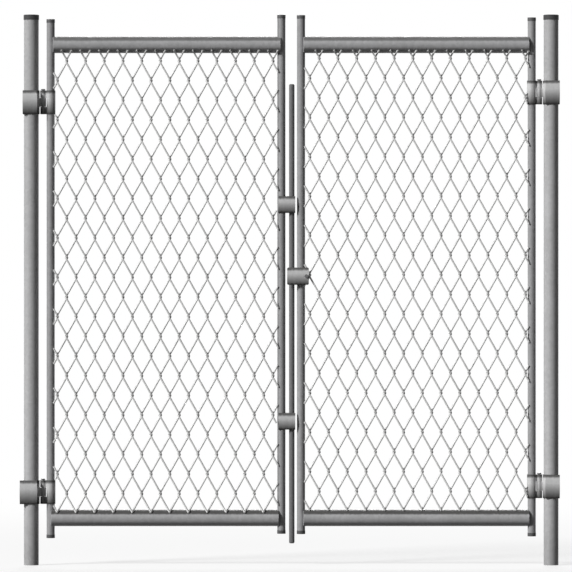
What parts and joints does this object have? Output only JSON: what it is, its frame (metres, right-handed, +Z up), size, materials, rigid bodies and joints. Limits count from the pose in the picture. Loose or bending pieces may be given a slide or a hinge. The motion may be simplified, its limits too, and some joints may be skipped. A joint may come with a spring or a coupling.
{
  "type": "double swing gate with a drop rod and fork latch",
  "caption": "Double swing gate of round steel tube with two diamond-mesh leaves hung on posts, a drop rod in guides on one leaf and a lifting fork latch on the other.",
  "frame": {"origin": "centre of the left post's foot, at ground level", "axes": "+X from the left post to the right post, +Y away from the side that carries the mesh, +Z up"},
  "size_m": [1.867, 0.083, 1.905],
  "materials": {
    "post_tube": "galvanised steel tube, dull grey",
    "leaf_tube": "galvanised steel tube, dull grey",
    "cap": "pressed galvanised steel",
    "wire": "galvanised wire",
    "fitting": "galvanised cast fitting, satin",
    "bar": "galvanised solid bar"
  },
  "bodies": {
    "posts": {"left_post": "post_tube", "left_post_cap": "cap", "left_top_post_hinge": "fitting", "left_bottom_post_hinge": "fitting", "left_top_hinge_pin": "bar", "left_bottom_hinge_pin": "bar", "right_post": "post_tube", "right_post_cap": "cap", "right_top_post_hinge": "fitting", "right_bottom_post_hinge": "fitting", "right_top_hinge_pin": "bar", "right_bottom_hinge_pin": "bar"},
    "left_leaf": {"left_hinge_stile": "leaf_tube", "left_latch_stile": "leaf_tube", "left_top_rail": "leaf_tube", "left_bottom_rail": "leaf_tube", "left_mesh": "wire", "left_top_leaf_hinge": "fitting", "left_bottom_leaf_hinge": "fitting", "upper_rod_guide": "fitting", "lower_rod_guide": "fitting"},
    "right_leaf": {"right_hinge_stile": "leaf_tube", "right_latch_stile": "leaf_tube", "right_top_rail": "leaf_tube", "right_bottom_rail": "leaf_tube", "right_mesh": "wire", "right_top_leaf_hinge": "fitting", "right_bottom_leaf_hinge": "fitting", "latch_collar": "fitting"},
    "drop_rod": {"drop_rod": "bar"},
    "latch_fork": {"latch_front_prong": "fitting", "latch_back_prong": "fitting", "latch_pivot_pin": "bar"}
  },
  "joints": [
    {"name": "left_leaf_swing", "type": "hinge", "parent": "posts", "child": "left_leaf", "pos_m": [0.041, 0, 0.2526], "axis": [0, 0, 1], "range_deg": [-90, 90]},
    {"name": "right_leaf_swing", "type": "hinge", "parent": "posts", "child": "right_leaf", "pos_m": [1.759, 0, 0.2726], "axis": [0, 0, -1], "range_deg": [-90, 90]},
    {"name": "drop_rod_slide", "type": "slide", "parent": "left_leaf", "child": "drop_rod", "axis": [0, 0, -1], "range_m": [0, 0.14]},
    {"name": "latch_fork_lift", "type": "hinge", "parent": "right_leaf", "child": "latch_fork", "pos_m": [0.9525, 0, 1], "axis": [0, 1, 0], "range_deg": [0, 95]}
  ]
}
